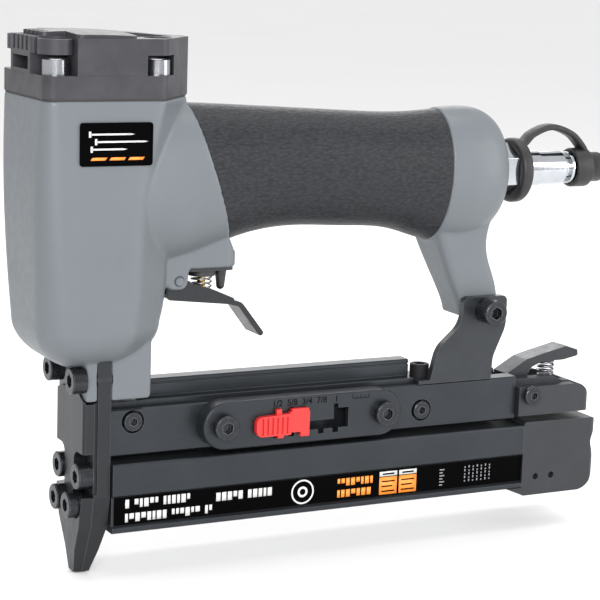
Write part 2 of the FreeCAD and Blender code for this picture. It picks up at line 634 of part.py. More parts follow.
def adjuster_plate():
    left = 43.4
    right = 101.4
    outline = slab_xz([(left - ADJ_R, ADJ_Z - ADJ_R), (right + ADJ_R, ADJ_Z - ADJ_R),
                       (right + ADJ_R, ADJ_Z + ADJ_R), (left - ADJ_R, ADJ_Z + ADJ_R)],
                      [ADJ_R - 0.01, ADJ_R - 0.01, ADJ_R - 0.01, ADJ_R - 0.01], ADJ_FACE_Y, -RAIL_HALF_Y - 0.02)
    rim = [e for e in outline.Edges if abs(e.CenterOfMass.y - ADJ_FACE_Y) < 0.01]
    body = outline.makeChamfer(0.5, rim)
    slot_end = MARK_X + MARK_STEP * (MARKS - 1) + 4.8
    tools = [
        box(54.0, 93.0, ADJ_FACE_Y + 2.2, 0.0, 42.6, 54.2),
        box(55.2, slot_end, -30.0, 0.0, 44.8, 48.0),
        box(slot_end - 5.6, slot_end, -30.0, 0.0, 44.8, 51.6),
        box(55.2, MARK_X + 7.6, -30.0, 0.0, 44.8, 50.6),
    ]
    for i in range(MARKS):
        x = MARK_X + MARK_STEP * i
        tools.append(box(x - 1.1, x + 1.1, -30.0, 0.0, 43.2, 44.9))
    for i in (0, 1, MARKS - 1):
        x = MARK_X + MARK_STEP * i
        tools.append(box(x - 0.9, x + 0.9, -30.0, 0.0, 50.0, 53.2))
    for x in ADJ_SCREW_XS:
        tools.append(rod(Vector(x, -30.0, ADJ_Z), Y_AXIS, SCREW_R + FIT, 30.0))
    return cut_all(body, tools)


def adjuster_screws():
    return Part.makeCompound([cap_screw(Vector(x, ADJ_FACE_Y - 0.02, ADJ_Z), Y_AXIS, 14.0, 4.2, 3.0, SCREW_R, 3.6)
                              for x in ADJ_SCREW_XS])


def length_slider():
    """Thumb slider: proud ribbed pad, toothed tongue, stem through the slot, shoe behind the face."""
    face = ADJ_FACE_Y - 0.3
    left = MARK_X - 8.4
    pad = slab_xz([(left, 44.4), (left, 51.0), (66.2, 51.6), (66.2, 44.4)], [2.2, 2.2, 0.3, 0.3], face - 2.0, face)
    tongue = box(65.8, 73.2, face - 1.5, face, 45.0, 52.0)
    teeth = [
        box(MARK_X - 0.9, MARK_X + 0.9, face - 1.5, face, 51.0, 53.2),
        box(MARK_X - 0.2, MARK_X + 1.8, face - 1.5, face, 43.4, 44.6),
        box(66.6, 72.8, face - 1.5, face, 51.8, 53.0),
        box(70.0, 73.2, face - 1.5, face, 43.4, 45.2),
    ]
    stem = box(MARK_X - 3.6, MARK_X + 3.6, face - 0.5, -14.0, 45.1, 47.7)
    shoe = box(MARK_X - 5.0, MARK_X + 5.0, -14.4, -11.6, 43.0, 50.0)
    body = fuse([pad, tongue, stem, shoe] + teeth)
    grooves = []
    for i in range(6):
        x = left + 1.9 + 1.8 * i
        grooves.append(box(x, x + 0.7, face - 3.0, face - 1.5, 45.0, 50.6))
    return cut_all(body, grooves)


def bracket():
    """Bent sheet bracket: shaped cheek beside the leg, foot flange on the rail."""
    outer = -LEG_HALF_Y - 2.7
    inner = -LEG_HALF_Y - 0.1
    points = [
        (136.4, 85.4), (154.4, 85.4), (154.4, 74.4), (149.6, 63.6), (149.2, RAIL_TOP_Z + 0.02),
        (123.9, RAIL_TOP_Z + 0.02), (127.0, 68.0), (136.4, 76.2),
    ]
    radii = [2.5, 2.0, 12.0, 10.0, 0.3, 0.3, 10.0, 9.0]
    cheek = slab_xz(points, radii, outer, inner)
    flange = box(119.8, 149.2, outer, 5.2, RAIL_TOP_Z + 0.02, 56.8)
    body = fuse([cheek, flange])
    tools = [
        rod(Vector(LEG_BOLT_X, -20.0, LEG_BOLT_Z), Y_AXIS, SCREW_R + FIT, 30.0),
        rod(Vector(FOOT_SCREW_X, FOOT_SCREW_Y, 50.0), Z_AXIS, SCREW_R + FIT, 20.0),
    ]
    return cut_all(body, tools)


def bracket_bolt():
    seat = -LEG_HALF_Y - 2.7
    screw = cap_screw(Vector(LEG_BOLT_X, seat - 2.6, LEG_BOLT_Z), Y_AXIS, 17.0, 4.4, 5.0, SCREW_R, 4.0)
    washer = ring(Vector(LEG_BOLT_X, seat - 2.6, LEG_BOLT_Z), Y_AXIS, 4.4, SCREW_R, 2.58)
    return fuse([screw, washer])


def foot_screw():
    return cap_screw(Vector(FOOT_SCREW_X, FOOT_SCREW_Y, 56.82), -Z_AXIS, 6.9, 3.4, 4.8, SCREW_R, 3.5)


def rear_housing():
    """Fixed tail of the magazine that carries the latch."""
    rear = 190.9
    profile = [(160.4, 41.4), (160.4, 54.0), (178.0, 54.0), (181.4, 52.2), (rear - 0.4, 51.8), (rear, 41.4)]
    side = slab_xz(profile, [0.4, 0.8, 1.0, 2.0, 7.2, 0.5], -12.8, 12.8)
    plan = slab_xy([(160.0, -12.8), (rear, -12.8), (rear, 12.8), (160.0, 12.8)], [0, 2.5, 2.5, 0], 40, 56)
    slot = box(150.0, 184.0, -4.6, 4.6, 40.0, 60.0)
    floor = box(170.6, 184.0, -4.6, 4.6, 41.4, 51.6)
    body = side.common(plan).cut(slot).fuse(floor)
    steps = mirror_pair(box(158.0, 184.5, -20.0, -8.4, 51.8, 60.0))
    hole = rod(Vector(LATCH_X, -20.0, LATCH_Z), Y_AXIS, 2.0 + FIT, 40.0)
    return cut_all(body.removeSplitter(), steps + [hole])


def latch_screw():
    seat = Vector(LATCH_X, -12.82, LATCH_Z)
    return cap_screw(seat, Y_AXIS, 24.0, 3.5, 2.0, 2.0, 2.5)


# ---- magazine, moving side ----
def slide_channel():
    half = SLIDE_HALF_Y
    section = [
        (-half, SLIDE_BOT_Z), (-half, 16.8), (-half + 1.1, 17.4), (-half + 1.1, 27.0), (-half, 27.6),
        (-half, SLIDE_TOP_Z), (-4.0, SLIDE_TOP_Z), (-4.0, 35.9), (-9.0, 35.9), (-9.0, 17.2),
        (9.0, 17.2), (9.0, 35.9), (4.0, 35.9), (4.0, SLIDE_TOP_Z),
        (half, SLIDE_TOP_Z), (half, 27.6), (half - 1.1, 27.0), (half - 1.1, 17.4), (half, 16.8),
        (half, SLIDE_BOT_Z),
    ]
    radii = [0.6, 0.3, 0.3, 0.3, 0.5, 0.9, 0.3, 0.3, 0.6, 0.6, 0.6, 0.6, 0.3, 0.3, 0.9, 0.5, 0.3, 0.3, 0.3, 0.6]
    return slab_yz(section, radii, GUIDE_REAR_X + 0.5, SLIDE_REAR_X)


def slide_labels():
    near = box(6.0, SLIDE_REAR_X - 0.2, -SLIDE_HALF_Y + 0.75, -SLIDE_HALF_Y + 1.08, 17.6, 26.8)
    return Part.makeCompound(mirror_pair(near))


BLOCK_PIN_XS = (168.4, 175.1)
BLOCK_PIN_Z = 18.8
BLOCK_PIN_R = 0.9
BLOCK_PIN_HALF_Y = 11.6


def rear_block():
    profile = [
        (SLIDE_REAR_X + 0.02, BLOCK_BOT_Z), (SLIDE_REAR_X + 0.02, BLOCK_TOP_Z),
        (BLOCK_REAR_X, BLOCK_TOP_Z - 0.4), (BLOCK_REAR_X, 35.0), (BLOCK_REAR_X - 2.6, 30.2),
        (BLOCK_REAR_X - 0.6, 24.0), (BLOCK_REAR_X - 0.8, BLOCK_BOT_Z),
    ]
    side = slab_xz(profile, [1.0, 1.0, 2.2, 3.0, 5.0, 4.0, 7.0], -SLIDE_HALF_Y, SLIDE_HALF_Y)
    plan = slab_xy([(150.0, -SLIDE_HALF_Y), (BLOCK_REAR_X, -SLIDE_HALF_Y), (BLOCK_REAR_X, SLIDE_HALF_Y),
                    (150.0, SLIDE_HALF_Y)], [0, 2.5, 2.5, 0], 0, 60)
    ramp = slab_xz([(156.5, SLIDE_BOT_Z - 0.02), (163.6, SLIDE_BOT_Z - 0.02), (163.6, BLOCK_BOT_Z)], [0, 0, 0],
                   -SLIDE_HALF_Y, SLIDE_HALF_Y)
    body = side.fuse(ramp).common(plan)
    tools = []
    for x in BLOCK_PIN_XS:
        tools.append(rod(Vector(x, -20.0, BLOCK_PIN_Z), Y_AXIS, BLOCK_PIN_R, 40.0))
        tools.append(rod(Vector(x, -20.0, BLOCK_PIN_Z), Y_AXIS, BLOCK_PIN_R + 0.3, 20.0 - BLOCK_PIN_HALF_Y))
    return cut_all(body.removeSplitter(), tools)


def block_pins():
    """Cross pins, sunk below the surface of the block."""
    length = 2 * BLOCK_PIN_HALF_Y
    return Part.makeCompound([rod(Vector(x, -BLOCK_PIN_HALF_Y, BLOCK_PIN_Z), Y_AXIS, BLOCK_PIN_R, length)
                              for x in BLOCK_PIN_XS])


def pusher():
    body = box(7.0, 19.0, -8.6, 8.6, 17.6, 31.9)
    track = box(0.0, 30.0, -1.6, 1.6, 19.1, 40.0)
    return body.cut(track)


def pusher_spring():
    return coil(Vector(19.1, 5.2, 24.6), X_AXIS, 2.5, 0.35, SLIDE_REAR_X - 19.2, 26)


def latch():
    """Spring-loaded release lever: thumb pad behind the pivot, nose in front of it."""
    hub = rod(Vector(LATCH_X, -4.2, LATCH_Z), Y_AXIS, 4.0, 8.4)
    neck_points = [
        (162.6, 49.0), (163.4, 54.4), (160.4, 53.7), (159.9, 55.2), (168.3, 59.9), (173.4, 61.2),
        (185.2, 63.8), (190.4, 62.2), (190.8, 60.0), (184.6, 58.8), (175.0, 58.6), (170.4, 56.8),
        (168.8, 53.6), (169.0, 48.4),
    ]
    neck_radii = [0.5, 1.5, 0.4, 0.4, 3.0, 6.0, 2.0, 0.8, 0.8, 4.0, 3.0, 3.0, 2.0, 0.5]
    neck = slab_xz(neck_points, neck_radii, -4.2, 4.2)
    arm_points = [(164.0, 47.0), (153.2, 43.4), (153.2, 38.7), (155.6, 38.7), (155.9, 42.0), (166.0, 45.4)]
    arm = slab_xz(arm_points, [0.5, 1.5, 0.5, 0.5, 1.0, 0.5], -4.2, 4.2)
    body = fuse([hub, neck, arm])
    return body.cut(rod(Vector(LATCH_X, -10.0, LATCH_Z), Y_AXIS, 2.0 + FIT, 20.0))


def latch_spring():
    return coil(Vector(179.6, 0, 51.65), Z_AXIS, 2.7, 0.45, 7.0, 4)


# ---- air inlet ----
def inlet_bushing():
    body = rod(Vector(142.0, 0, PLUG_Z), X_AXIS, 8.0, 12.0)
    collar_x = BULB_END_X + 0.02
    collar = hex_prism(Vector(collar_x, 0, PLUG_Z), X_AXIS, 16.2, RING_X - 0.1 - collar_x)
    return fuse([body, collar]).cut(rod(Vector(130.0, 0, PLUG_Z), X_AXIS, 6.4, 60.0))


def air_plug():
    """Male quick connector: threaded end, long barrel, flange, shoulder and nose."""
    thread = rod(Vector(143.0, 0, PLUG_Z), X_AXIS, 6.4, 27.0)
    barrel = rod(Vector(166.0, 0, PLUG_Z), X_AXIS, 6.0, 14.6)
    barrel = barrel.makeChamfer(0.5, [e for e in barrel.Edges if e.Closed and e.CenterOfMass.x > 180])
    neck = rod(Vector(180.6, 0, PLUG_Z), X_AXIS, 4.4, 2.4)
    flange = rod(Vector(182.8, 0, PLUG_Z), X_AXIS, 5.7, 1.4)
    flange = flange.makeFillet(0.35, [e for e in flange.Edges if e.Closed])
    waist = rod(Vector(184.0, 0, PLUG_Z), X_AXIS, 3.3, 1.2)
    shoulder = rod(Vector(184.6, 0, PLUG_Z), X_AXIS, 3.95, 2.4)
    nose = Part.makeCone(3.95, 3.0, 4.0, Vector(187.0, 0, PLUG_Z), X_AXIS)
    body = fuse([thread, barrel, neck, flange, waist, shoulder, nose])
    return body.cut(rod(Vector(130.0, 0, PLUG_Z), X_AXIS, 2.2, 80.0))


def strap_arch():
    """Moulded strap that arches from the ring over to the dust cup."""
    outer = [(163.6, 138.6), (167.6, 142.6), (175.5, 144.9), (184.3, 142.6), (190.6, 137.2), (192.0, 133.4)]
    inner = [(189.4, 133.4), (187.9, 135.6), (183.9, 139.4), (176.0, 142.1), (168.9, 139.7), (166.0, 136.2)]
    edges = []
    for line in (outer, inner):
        curve = Part.BSplineCurve()
        curve.interpolate([Vector(x, -3.0, z) for x, z in line])
        edges.append(curve.toShape())
    start = Vector(outer[0][0], -3.0, outer[0][1])
    last = Vector(outer[-1][0], -3.0, outer[-1][1])
    edges.insert(1, Part.makeLine(last, Vector(inner[0][0], -3.0, inner[0][1])))
    edges.append(Part.makeLine(Vector(inner[-1][0], -3.0, inner[-1][1]), start))
    return Part.Face(Part.Wire(edges)).extrude(Vector(0, 6.0, 0))


def cap_ring():
    """Rubber ring held on the inlet, with the front half of the strap."""
    disc = rod(Vector(RING_X, 0, PLUG_Z - 0.4), X_AXIS, 11.4, 4.4)
    rim = [e for e in disc.Edges if e.Closed]
    disc = disc.makeFillet(1.2, rim)
    tongue = slab_xz([(160.0, 134.0), (160.0, 139.0), (163.6, 139.9), (168.0, 139.8), (165.6, 134.0)],
                     [0.5, 1.2, 0.8, 0.8, 0.8], -4.0, 4.0)
    strap = strap_arch().common(box(150.0, STRAP_X - 0.15, -5.0, 5.0, 130.0, 150.0))
    body = fuse([disc, tongue, strap])
    return body.cut(rod(Vector(150.0, 0, PLUG_Z), X_AXIS, 6.4, 30.0))


def dust_cap():
    """Rubber cup over the connector nose, with the rear half of the strap."""
    rim = rod(Vector(184.6, 0, PLUG_Z), X_AXIS, 7.0, 7.0)
    rim = rim.makeFillet(1.0, [e for e in rim.Edges if e.Closed])
    knob = rod(Vector(190.0, 0, PLUG_Z), X_AXIS, 5.3, 8.2)
    knob = knob.makeFillet(1.6, [e for e in knob.Edges if e.Closed and e.CenterOfMass.x > 195])
    room = Part.makeCone(5.6, 4.4, 7.3, Vector(184.3, 0, PLUG_Z), X_AXIS)
    strap = strap_arch().common(box(STRAP_X + 0.15, 200.0, -5.0, 5.0, 130.0, 150.0))
    return fuse([rim, knob, strap]).cut(room)


def badge():
    """Nameplate with a thin raised border round its face."""
    front = -HEAD_HALF_Y - 0.85
    border = 0.5
    x0, x1, z0, z1 = -10.6, 13.4, 135.8, 149.2
    plate = slab_xz([(x0, z0), (x0, z1), (x1, z1), (x1, z0)], [1, 1, 1, 1], front, -15.0)
    inner = [(x0 + border, z0 + border), (x0 + border, z1 - border), (x1 - border, z1 - border), (x1 - border, z0 + border)]
    face = slab_xz(inner, [0.6, 0.6, 0.6, 0.6], front - 1.0, front + 0.2)
    return cut_all(plate, [head_solid(), face])


# ---- write every part ----
export("casting", casting())
export("cap", cap())
export("cap_gasket", cap_gasket())
export("cap_screws", cap_screws())
export("cylinder_sleeve", cylinder_sleeve())
export("sleeve_rings", sleeve_rings())
export("bumper", bumper())
export("piston", piston())
export("piston_ring", piston_ring())
export("driver", driver())
export("head_valve", head_valve())
export("head_spring", head_spring())
export("grip", grip())
export("badge", badge())
export("valve_plate", valve_plate())
export("valve_collar", valve_collar())
export("valve_stem", valve_stem())
export("stem_spring", stem_spring())
export("trigger", trigger())
export("trigger_pin", trigger_pin())
export("nose_tip", nose_tip())
export("guide_body", guide_body())
export("front_plate", front_plate())
export("nose_screws_upper", nose_screws(0))
export("nose_screws_middle", nose_screws(1))
export("nose_screws_lower", nose_screws(2))
export("main_rail", main_rail())
export("top_rail", top_rail())
export("rail_screws", rail_screws())
export("adjuster_plate", adjuster_plate())
export("adjuster_screws", adjuster_screws())
export("length_slider", length_slider())
export("bracket", bracket())
export("bracket_bolt", bracket_bolt())
export("foot_screw", foot_screw())
export("rear_housing", rear_housing())
export("latch_screw", latch_screw())
export("slide_channel", slide_channel())
export("slide_labels", slide_labels())
export("rear_block", rear_block())
export("block_pins", block_pins())
export("pusher", pusher())
export("pusher_spring", pusher_spring())
export("latch", latch())
export("latch_spring", latch_spring())
export("inlet_bushing", inlet_bushing())
export("air_plug", air_plug())
export("cap_ring", cap_ring())
export("dust_cap", dust_cap())
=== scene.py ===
import json
import math
import random

import bmesh
import bpy
from mathutils import Matrix, Vector


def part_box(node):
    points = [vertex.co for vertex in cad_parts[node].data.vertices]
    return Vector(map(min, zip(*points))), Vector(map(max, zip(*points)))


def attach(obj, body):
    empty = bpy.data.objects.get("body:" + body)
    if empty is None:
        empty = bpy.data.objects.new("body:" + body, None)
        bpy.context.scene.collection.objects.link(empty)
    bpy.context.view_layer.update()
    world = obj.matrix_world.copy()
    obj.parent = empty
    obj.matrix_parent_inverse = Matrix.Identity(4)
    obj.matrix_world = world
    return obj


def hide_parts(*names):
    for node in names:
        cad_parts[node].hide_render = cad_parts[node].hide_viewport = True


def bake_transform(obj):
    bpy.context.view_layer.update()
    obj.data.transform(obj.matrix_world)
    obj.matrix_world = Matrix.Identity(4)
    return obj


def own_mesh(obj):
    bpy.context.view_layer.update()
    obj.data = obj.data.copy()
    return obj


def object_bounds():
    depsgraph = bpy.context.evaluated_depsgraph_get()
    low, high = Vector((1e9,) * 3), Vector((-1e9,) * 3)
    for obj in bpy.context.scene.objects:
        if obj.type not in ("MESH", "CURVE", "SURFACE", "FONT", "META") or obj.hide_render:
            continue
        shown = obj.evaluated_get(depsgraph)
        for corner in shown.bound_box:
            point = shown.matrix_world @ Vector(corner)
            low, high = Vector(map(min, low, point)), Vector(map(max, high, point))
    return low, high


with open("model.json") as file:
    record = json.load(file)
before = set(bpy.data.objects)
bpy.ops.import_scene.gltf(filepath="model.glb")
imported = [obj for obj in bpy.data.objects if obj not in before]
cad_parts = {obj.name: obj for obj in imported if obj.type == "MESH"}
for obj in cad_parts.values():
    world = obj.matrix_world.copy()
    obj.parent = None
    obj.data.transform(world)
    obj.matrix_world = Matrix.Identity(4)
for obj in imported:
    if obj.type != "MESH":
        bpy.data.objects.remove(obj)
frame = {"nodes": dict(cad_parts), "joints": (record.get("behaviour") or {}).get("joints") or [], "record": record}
START_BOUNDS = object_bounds()
NODES = frame["nodes"]
MM = 0.001
COAT_ROUGHNESS = 0.12
BEVEL_SAMPLES = 4            # rays of the edge mask
WELD_MM = 0.002              # joins the doubled vertices of an imported mesh
EDGE_ANGLE = 32.0            # degrees; sharper edges than this get broken
rng = random.Random(7)


def joint(name):
    for item in frame["joints"]:
        if item["name"] == name:
            return item
    raise KeyError(name)


# ---------------------------------------------------------------- materials
class Shader:
    """A principled material with short helpers for its node tree."""

    def __init__(self, name, metallic=0.0, roughness=0.5, spec=0.5, coat=0.0):
        self.mat = bpy.data.materials.new(name)
        self.mat.use_nodes = True
        self.tree = self.mat.node_tree
        self.bsdf = self.tree.nodes["Principled BSDF"]
        self.bsdf.inputs["Metallic"].default_value = metallic
        self.bsdf.inputs["Roughness"].default_value = roughness
        self.bsdf.inputs["Specular IOR Level"].default_value = spec
        self.bsdf.inputs["Coat Weight"].default_value = coat
        self.bsdf.inputs["Coat Roughness"].default_value = COAT_ROUGHNESS
        self.coords = self.tree.nodes.new("ShaderNodeTexCoord")

    def link(self, a, b):
        self.tree.links.new(a, b)

    def space(self, stretch=(1.0, 1.0, 1.0)):
        mapping = self.tree.nodes.new("ShaderNodeMapping")
        mapping.inputs["Scale"].default_value = stretch
        self.link(self.coords.outputs["Object"], mapping.inputs["Vector"])
        return mapping.outputs["Vector"]

    def noise(self, size_mm, detail=4.0, rough=0.55, stretch=(1.0, 1.0, 1.0)):
        node = self.tree.nodes.new("ShaderNodeTexNoise")
        node.inputs["Scale"].default_value = 1.0 / (size_mm * MM)
        node.inputs["Detail"].default_value = detail
        node.inputs["Roughness"].default_value = rough
        self.link(self.space(stretch), node.inputs["Vector"])
        return node.outputs["Fac"]

    def cells(self, size_mm, stretch=(1.0, 1.0, 1.0)):
        node = self.tree.nodes.new("ShaderNodeTexVoronoi")
        node.feature = "F1"
        node.inputs["Scale"].default_value = 1.0 / (size_mm * MM)
        node.inputs["Randomness"].default_value = 1.0
        self.link(self.space(stretch), node.inputs["Vector"])
        return node.outputs["Distance"]

    def ramp(self, value, stops):
        node = self.tree.nodes.new("ShaderNodeValToRGB")
        while len(node.color_ramp.elements) < len(stops):
            node.color_ramp.elements.new(0.5)
        for element, (where, colour) in zip(node.color_ramp.elements, stops):
            element.position = where
            element.color = (colour[0], colour[1], colour[2], 1.0)
        self.link(value, node.inputs["Fac"])
        return node.outputs["Color"]

    def remap(self, value, low, high, from_low=0.3, from_high=0.7):
        node = self.tree.nodes.new("ShaderNodeMapRange")
        node.inputs["From Min"].default_value = from_low
        node.inputs["From Max"].default_value = from_high
        node.inputs["To Min"].default_value = low
        node.inputs["To Max"].default_value = high
        self.link(value, node.inputs["Value"])
        return node.outputs["Result"]

    def edges(self, high, reach_mm=0.35):
        """Mask that grows from 0 on flat faces to high along edges; it lays a painted highlight along the edges.
        """
        rounded = self.tree.nodes.new("ShaderNodeBevel")
        rounded.samples = BEVEL_SAMPLES
        rounded.inputs["Radius"].default_value = reach_mm * MM
        geometry = self.tree.nodes.new("ShaderNodeNewGeometry")
        dot = self.tree.nodes.new("ShaderNodeVectorMath")
        dot.operation = "DOT_PRODUCT"
        self.link(rounded.outputs["Normal"], dot.inputs[0])
        self.link(geometry.outputs["Normal"], dot.inputs[1])
        return self.remap(dot.outputs["Value"], high, 0.0, 0.80, 0.99)

    def blend(self, amount, a, b):
        node = self.tree.nodes.new("ShaderNodeMix")
        node.data_type = "RGBA"
        self.link(amount, node.inputs["Factor"])
        self.link(a, node.inputs["A"])
        node.inputs["B"].default_value = (b[0], b[1], b[2], 1.0)
        return node.outputs["Result"]

    def colour(self, socket):
        self.link(socket, self.bsdf.inputs["Base Color"])

    def rough(self, socket):
        self.link(socket, self.bsdf.inputs["Roughness"])

    def bump(self, heights, base=None):
        """heights: list of (socket, depth in mm, strength), laid one over another."""
        normal = base
        for socket, depth, strength in heights:
            node = self.tree.nodes.new("ShaderNodeBump")
            node.inputs["Distance"].default_value = depth * MM
            node.inputs["Strength"].default_value = strength
            self.link(socket, node.inputs["Height"])
            if normal is not None:
                self.link(normal, node.inputs["Normal"])
            normal = node.outputs["Normal"]
        self.link(normal, self.bsdf.inputs["Normal"])


def shade(colour, factor):
    return tuple(min(1.0, c * factor) for c in colour)


EDGE_HIGHLIGHT = (0.30, 0.31, 0.33)     # painted highlight: light grey laid along edges


def varied(name, colour, spread, size_mm, rough_low, rough_high, bumps,
           metallic=0.0, spec=0.5, edge_highlight=0.0):
    """General finish: colour and roughness drift; bumps are (size in mm, depth in mm, strength)."""
    s = Shader(name, metallic, rough_low, spec)
    drift = s.noise(size_mm, 5.0, 0.6)
    tone = s.ramp(drift, [(0.3, shade(colour, 1.0 - spread)), (0.5, colour),
                          (0.72, shade(colour, 1.0 + spread))])
    # painted highlight: the edges are lightened toward a light grey
    if edge_highlight > 0:
        tone = s.blend(s.edges(edge_highlight), tone, EDGE_HIGHLIGHT)
    s.colour(tone)
    s.rough(s.remap(s.noise(size_mm * 0.6, 4.0, 0.6), rough_low, rough_high))
    s.bump([(s.noise(size, 3.0, 0.6), depth, strength) for size, depth, strength in bumps])
    return s.mat


def casting_paint():
    s = Shader("casting_paint", 0.0, 0.42, 0.45, 0.08)
    base = (0.112, 0.125, 0.137)
    drift = s.noise(26.0, 4.0, 0.55)
    s.colour(s.ramp(drift, [(0.28, shade(base, 0.95)), (0.5, base), (0.75, shade(base, 1.05))]))
    s.rough(s.remap(s.noise(3.0, 5.0, 0.6), 0.40, 0.52))
    s.bump([(s.noise(0.9, 2.0, 0.5), 0.03, 0.30), (s.noise(7.0, 2.0, 0.5), 0.12, 0.18)])
    return s.mat


def grip_rubber():
    """Moulded rubber with a fine wavy pebble."""
    s = Shader("grip_rubber", 0.0, 0.5, 0.35)
    pebble = s.cells(0.85, (0.45, 1.0, 1.2))
    fine = s.noise(0.6, 3.0, 0.6, (0.4, 1.0, 1.1))
    # painted shade: the colour darkens from the pebble tops into the low borders between them
    s.colour(s.ramp(pebble, [(0.0, (0.021, 0.023, 0.027)), (0.5, (0.010, 0.011, 0.014)),
                             (1.0, (0.003, 0.003, 0.004))]))
    s.rough(s.remap(fine, 0.40, 0.56))
    flip = s.remap(pebble, 1.0, 0.0, 0.0, 1.0)
    s.bump([(flip, 0.16, 0.6), (fine, 0.05, 0.4)])
    return s.mat


def brushed_black(name, base, along, metallic=0.65, rough=(0.26, 0.42)):
    """Dark anodised bar, faintly brushed along one axis."""
    stretch = [1.0, 1.0, 1.0]
    stretch["xyz".index(along)] = 0.02
    s = Shader(name, metallic, rough[0], 0.5)
    lines = s.noise(0.35, 2.0, 0.6, stretch)
    drift = s.noise(18.0, 4.0, 0.6)
    tone = s.ramp(drift, [(0.3, shade(base, 0.88)), (0.55, base), (0.8, shade(base, 1.14))])
    # painted highlight: the edges are lightened toward a light grey
    s.colour(s.blend(s.edges(0.22), tone, EDGE_HIGHLIGHT))
    s.rough(s.remap(lines, rough[0], rough[1]))
    s.bump([(lines, 0.012, 0.35), (s.noise(1.4, 3.0, 0.6), 0.01, 0.25)])
    return s.mat


def bright_metal(name, base, rough_low, rough_high):
    s = Shader(name, 1.0, rough_low, 0.5)
    rings = s.noise(0.5, 2.0, 0.6, (1.0, 0.08, 0.08))
    s.colour(s.ramp(s.noise(5.0, 4.0, 0.6), [(0.3, shade(base, 0.9)), (0.7, shade(base, 1.05))]))
    s.rough(s.remap(rings, rough_low, rough_high))
    s.bump([(rings, 0.01, 0.2)])
    return s.mat


MATS = {
    "casting_paint": casting_paint(),
    "cap_plastic": varied("cap_plastic", (0.036, 0.035, 0.041), 0.22, 9.0, 0.40, 0.52,
                          [(0.8, 0.015, 0.2), (5.0, 0.08, 0.15)], spec=0.34),
    "grip_rubber": grip_rubber(),
    "cap_rubber": varied("cap_rubber", (0.010, 0.010, 0.011), 0.25, 4.0, 0.42, 0.58,
                         [(0.6, 0.03, 0.35), (3.0, 0.08, 0.2)]),
    "seal_rubber": varied("seal_rubber", (0.022, 0.020, 0.018), 0.2, 3.0, 0.5, 0.7,
                          [(0.5, 0.02, 0.3)]),
    "bumper_rubber": varied("bumper_rubber", (0.30, 0.13, 0.035), 0.15, 4.0, 0.4, 0.6,
                            [(0.6, 0.03, 0.3)]),
    "bright_screw": bright_metal("bright_screw", (0.36, 0.37, 0.39), 0.16, 0.30),
    "black_screw": varied("black_screw", (0.034, 0.036, 0.041), 0.2, 2.0, 0.20, 0.34,
                          [(0.4, 0.015, 0.3)], metallic=0.8, edge_highlight=0.7),
    "rail_black": brushed_black("rail_black", (0.030, 0.034, 0.039), "x"),
    "nose_steel": brushed_black("nose_steel", (0.024, 0.026, 0.029), "z", 0.6, (0.30, 0.46)),
    "sheet_black": varied("sheet_black", (0.022, 0.025, 0.029), 0.16, 7.0, 0.26, 0.42,
                          [(0.5, 0.015, 0.35), (3.0, 0.03, 0.2)], metallic=0.35, edge_highlight=0.2),
    "block_black": varied("block_black", (0.021, 0.023, 0.027), 0.14, 9.0, 0.34, 0.48,
                          [(0.6, 0.02, 0.35), (4.0, 0.04, 0.2)], metallic=0.25, edge_highlight=0.12),
    "label_film": varied("label_film", (0.0008, 0.0008, 0.0010), 0.2, 12.0, 0.40, 0.50,
                         [(1.4, 0.01, 0.12)], spec=0.02),
    "slider_red": varied("slider_red", (0.58, 0.022, 0.020), 0.08, 5.0, 0.30, 0.42,
                         [(0.5, 0.015, 0.3)], spec=0.5),
    "connector": bright_metal("connector", (0.50, 0.52, 0.55), 0.05, 0.14),
    "brass_stem": bright_metal("brass_stem", (0.78, 0.55, 0.20), 0.16, 0.32),
    "sleeve_metal": bright_metal("sleeve_metal", (0.50, 0.51, 0.53), 0.22, 0.38),
    "tool_steel": bright_metal("tool_steel", (0.32, 0.33, 0.35), 0.24, 0.4),
    "trigger_metal": varied("trigger_metal", (0.016, 0.017, 0.020), 0.16, 5.0, 0.24, 0.40,
                            [(0.6, 0.015, 0.3), (3.0, 0.03, 0.15)], metallic=0.3),
    "spring_steel": bright_metal("spring_steel", (0.24, 0.24, 0.26), 0.28, 0.42),
    "valve_plastic": varied("valve_plastic", (0.018, 0.018, 0.020), 0.2, 3.0, 0.36, 0.5,
                            [(0.5, 0.02, 0.3)]),
}
INK = [(0.5, 0.005, 0.2)]     # surface grain of printed marks
DULL = [(0.5, 0.02, 0.3)]
PRINT_WHITE = varied("print_white", (0.62, 0.62, 0.61), 0.06, 3.0, 0.32, 0.46, INK)
PRINT_GREY = varied("print_grey", (0.22, 0.22, 0.23), 0.08, 3.0, 0.38, 0.5, INK)
PRINT_BLACK = varied("print_black", (0.003, 0.003, 0.004), 0.2, 3.0, 0.45, 0.6, INK, spec=0.1)
PRINT_ORANGE = varied("print_orange", (0.90, 0.27, 0.030), 0.08, 3.0, 0.30, 0.44, INK)
# near-black matte: painted shade for the holes of the block pins; the foot screw gets the same flat black
PAINTED_SHADE_AND_FLAT_BLACK = varied("painted_shade_and_flat_black", (0.010, 0.010, 0.012), 0.2, 3.0, 0.5, 0.7, DULL, spec=0.2)
DULL_PIN = varied("dull_pin", (0.125, 0.138, 0.150), 0.12, 2.0, 0.35, 0.5, DULL, metallic=0.3)

for entry in frame["record"]["subparts"]:
    node = NODES[entry["node"]]
    node.data.materials.clear()
    node.data.materials.append(MATS[entry["material_slot"]])
# painted shade on the block pins, which sit in dark holes; the foot screw gets the same flat black
NODES["block_pins"].data.materials[0] = PAINTED_SHADE_AND_FLAT_BLACK
NODES["foot_screw"].data.materials[0] = PAINTED_SHADE_AND_FLAT_BLACK
NODES["trigger_pin"].data.materials[0] = DULL_PIN


# ---------------------------------------------------------------- edge work
def welded(name):
    obj = NODES[name]
    weld = obj.modifiers.new("weld", "WELD")
    weld.merge_threshold = WELD_MM * MM
    return obj


